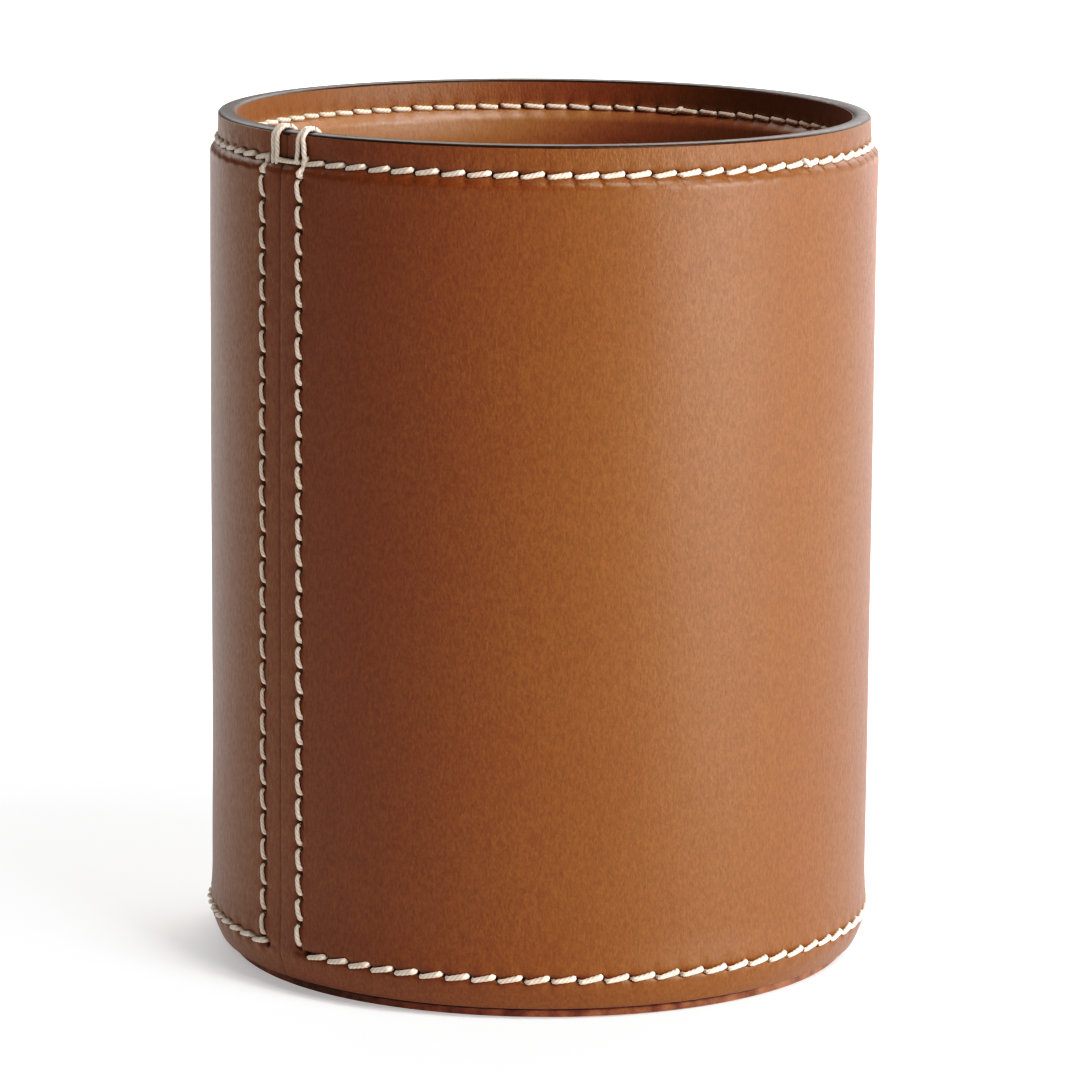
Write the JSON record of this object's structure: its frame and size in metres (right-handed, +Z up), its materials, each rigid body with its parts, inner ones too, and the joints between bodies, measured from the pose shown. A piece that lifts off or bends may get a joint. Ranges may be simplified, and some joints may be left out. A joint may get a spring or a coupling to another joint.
{
  "type": "pen holder cup",
  "caption": "Round saddle-stitched leather pen cup with an upright seam, sewn rim, smooth lining and flat leather sole.",
  "frame": {"origin": "centre of the sole's underside", "axes": "+Z up along the cup's axis towards the open rim, front towards -Y, upright seam at the front left"},
  "size_m": [0.09, 0.09, 0.1129],
  "materials": {
    "wrap_leather": "smooth chestnut brown full-grain leather with fine pores, soft satin sheen",
    "lining_leather": "smooth tan-brown lining leather, satin",
    "backing_leather": "undyed flesh-side leather, matt",
    "sole_leather": "reddish brown leather with a raw fibrous edge, matt",
    "fibreboard": "grey-brown pressed fibreboard, matt",
    "edge_paint": "burnished very dark brown edge coat, soft gloss",
    "waxed_thread": "ivory twisted waxed thread, low sheen"
  },
  "bodies": {
    "root": {"outer_wrap": "wrap_leather", "lining_wrap": "lining_leather", "core_tube": "fibreboard", "seam_strip": "backing_leather", "base_pan": "backing_leather", "base_board": "fibreboard", "floor_lining": "lining_leather", "base_sole": "sole_leather", "rim_edge_paint": "edge_paint", "rim_stitching": "waxed_thread", "base_stitching": "waxed_thread", "left_seam_stitching": "waxed_thread", "right_seam_stitching": "waxed_thread"}
  },
  "joints": []
}
